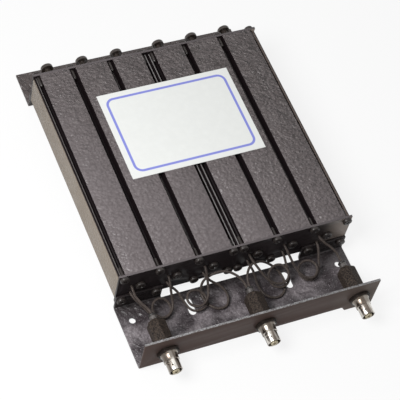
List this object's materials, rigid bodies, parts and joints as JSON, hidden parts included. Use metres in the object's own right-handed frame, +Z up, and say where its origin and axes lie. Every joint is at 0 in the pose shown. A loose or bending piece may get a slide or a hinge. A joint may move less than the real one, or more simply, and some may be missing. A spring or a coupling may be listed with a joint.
{
  "type": "cavity duplexer",
  "caption": "Flat ribbed cavity duplexer with tuning screws, end brackets for bolting down, bayonet coaxial jacks on a front panel and looped coaxial jumpers.",
  "frame": {"origin": "middle of the outer size, on the plane that the bracket floors stand on", "axes": "+Z up, +Y along the cavities from the coaxial jacks to the tuning screws, +X to the right seen from the jacks"},
  "size_m": [0.1778, 0.2774, 0.0399],
  "materials": {
    "crinkle_paint": "black crinkle paint, low sheen",
    "plate_paint": "smooth black paint, semi-gloss",
    "bracket_paint": "fine-grained black paint, satin",
    "label_film": "white printed film, left bare but for a plain border",
    "black_screws": "black-oxide steel",
    "tuning_brown": "brown-black oxidised steel",
    "resonator_copper": "copper-plated",
    "tuning_brass": "plain brass",
    "bright_nickel": "bright nickel plate",
    "dark_nickel": "tarnished nickel plate",
    "insulator_ivory": "aged ivory fluoropolymer",
    "contact_gold": "gold-coloured plating",
    "black_oxide": "black oxide",
    "ferrule_tin": "dull tin plate",
    "jumper_jacket": "brown translucent jacket over braid"
  },
  "bodies": {
    "housing": {"left_cavity_extrusion": "crinkle_paint", "right_cavity_extrusion": "crinkle_paint", "front_end_plate": "plate_paint", "rear_end_plate": "plate_paint", "front_bracket": "bracket_paint", "rear_bracket": "bracket_paint", "label_plate": "label_film", "front_plate_screws": "black_screws", "rear_plate_screws": "black_screws", "resonator_screws": "black_screws", "resonator_1": "resonator_copper", "resonator_2": "resonator_copper", "resonator_3": "resonator_copper", "resonator_4": "resonator_copper", "resonator_5": "resonator_copper", "resonator_6": "resonator_copper", "coupling_loops": "resonator_copper", "tuning_bushings": "tuning_brass", "jack_1_shell": "bright_nickel", "jack_2_shell": "bright_nickel", "jack_3_shell": "bright_nickel", "jack_1_hex_body": "dark_nickel", "jack_2_hex_body": "dark_nickel", "jack_3_hex_body": "dark_nickel", "jack_1_insulator": "insulator_ivory", "jack_2_insulator": "insulator_ivory", "jack_3_insulator": "insulator_ivory", "jack_1_contact": "contact_gold", "jack_2_contact": "contact_gold", "jack_3_contact": "contact_gold", "jack_nuts": "black_oxide", "jack_washers": "black_oxide", "jack_ferrules": "ferrule_tin", "coax_1": "jumper_jacket", "coax_2": "jumper_jacket", "coax_3": "jumper_jacket", "coax_4": "jumper_jacket", "coax_5": "jumper_jacket", "coax_6": "jumper_jacket", "coax_7": "jumper_jacket", "coax_8": "jumper_jacket"},
    "slug_1": {"tuning_slug_1": "tuning_brass"},
    "screw_1": {"tuning_screw_1": "tuning_brown"},
    "nut_1": {"lock_nut_1": "black_screws"},
    "slug_2": {"tuning_slug_2": "tuning_brass"},
    "screw_2": {"tuning_screw_2": "tuning_brown"},
    "nut_2": {"lock_nut_2": "black_screws"},
    "slug_3": {"tuning_slug_3": "tuning_brass"},
    "screw_3": {"tuning_screw_3": "tuning_brown"},
    "nut_3": {"lock_nut_3": "black_screws"},
    "slug_4": {"tuning_slug_4": "tuning_brass"},
    "screw_4": {"tuning_screw_4": "tuning_brown"},
    "nut_4": {"lock_nut_4": "black_screws"},
    "slug_5": {"tuning_slug_5": "tuning_brass"},
    "screw_5": {"tuning_screw_5": "tuning_brown"},
    "nut_5": {"lock_nut_5": "black_screws"},
    "slug_6": {"tuning_slug_6": "tuning_brass"},
    "screw_6": {"tuning_screw_6": "tuning_brown"},
    "nut_6": {"lock_nut_6": "black_screws"}
  },
  "joints": [
    {"name": "tuning_travel_1", "type": "slide", "parent": "housing", "child": "slug_1", "axis": [0, 1, 0], "range_m": [-0.00635, 0.00635]},
    {"name": "tuning_turn_1", "type": "hinge", "parent": "slug_1", "child": "screw_1", "pos_m": [-0.07185, 0.1083, 0.02372], "axis": [0, 1, 0], "range_deg": [-2880, 2880]},
    {"name": "lock_nut_turn_1", "type": "hinge", "parent": "housing", "child": "nut_1", "pos_m": [-0.07185, 0.1083, 0.02372], "axis": [0, 1, 0], "range_deg": [0, 90]},
    {"name": "tuning_travel_2", "type": "slide", "parent": "housing", "child": "slug_2", "axis": [0, 1, 0], "range_m": [-0.00635, 0.00635]},
    {"name": "tuning_turn_2", "type": "hinge", "parent": "slug_2", "child": "screw_2", "pos_m": [-0.04445, 0.1083, 0.02372], "axis": [0, 1, 0], "range_deg": [-2880, 2880]},
    {"name": "lock_nut_turn_2", "type": "hinge", "parent": "housing", "child": "nut_2", "pos_m": [-0.04445, 0.1083, 0.02372], "axis": [0, 1, 0], "range_deg": [0, 90]},
    {"name": "tuning_travel_3", "type": "slide", "parent": "housing", "child": "slug_3", "axis": [0, 1, 0], "range_m": [-0.00635, 0.00635]},
    {"name": "tuning_turn_3", "type": "hinge", "parent": "slug_3", "child": "screw_3", "pos_m": [-0.01705, 0.1083, 0.02372], "axis": [0, 1, 0], "range_deg": [-2880, 2880]},
    {"name": "lock_nut_turn_3", "type": "hinge", "parent": "housing", "child": "nut_3", "pos_m": [-0.01705, 0.1083, 0.02372], "axis": [0, 1, 0], "range_deg": [0, 90]},
    {"name": "tuning_travel_4", "type": "slide", "parent": "housing", "child": "slug_4", "axis": [0, 1, 0], "range_m": [-0.00635, 0.00635]},
    {"name": "tuning_turn_4", "type": "hinge", "parent": "slug_4", "child": "screw_4", "pos_m": [0.01705, 0.1083, 0.02372], "axis": [0, 1, 0], "range_deg": [-2880, 2880]},
    {"name": "lock_nut_turn_4", "type": "hinge", "parent": "housing", "child": "nut_4", "pos_m": [0.01705, 0.1083, 0.02372], "axis": [0, 1, 0], "range_deg": [0, 90]},
    {"name": "tuning_travel_5", "type": "slide", "parent": "housing", "child": "slug_5", "axis": [0, 1, 0], "range_m": [-0.00635, 0.00635]},
    {"name": "tuning_turn_5", "type": "hinge", "parent": "slug_5", "child": "screw_5", "pos_m": [0.04445, 0.1083, 0.02372], "axis": [0, 1, 0], "range_deg": [-2880, 2880]},
    {"name": "lock_nut_turn_5", "type": "hinge", "parent": "housing", "child": "nut_5", "pos_m": [0.04445, 0.1083, 0.02372], "axis": [0, 1, 0], "range_deg": [0, 90]},
    {"name": "tuning_travel_6", "type": "slide", "parent": "housing", "child": "slug_6", "axis": [0, 1, 0], "range_m": [-0.00635, 0.00635]},
    {"name": "tuning_turn_6", "type": "hinge", "parent": "slug_6", "child": "screw_6", "pos_m": [0.07185, 0.1083, 0.02372], "axis": [0, 1, 0], "range_deg": [-2880, 2880]},
    {"name": "lock_nut_turn_6", "type": "hinge", "parent": "housing", "child": "nut_6", "pos_m": [0.07185, 0.1083, 0.02372], "axis": [0, 1, 0], "range_deg": [0, 90]}
  ],
  "couplings": [
    {"joint": "tuning_turn_1", "follows": "tuning_travel_1", "rad_per_m": 7915.8},
    {"joint": "tuning_turn_2", "follows": "tuning_travel_2", "rad_per_m": 7915.8},
    {"joint": "tuning_turn_3", "follows": "tuning_travel_3", "rad_per_m": 7915.8},
    {"joint": "tuning_turn_4", "follows": "tuning_travel_4", "rad_per_m": 7915.8},
    {"joint": "tuning_turn_5", "follows": "tuning_travel_5", "rad_per_m": 7915.8},
    {"joint": "tuning_turn_6", "follows": "tuning_travel_6", "rad_per_m": 7915.8}
  ]
}
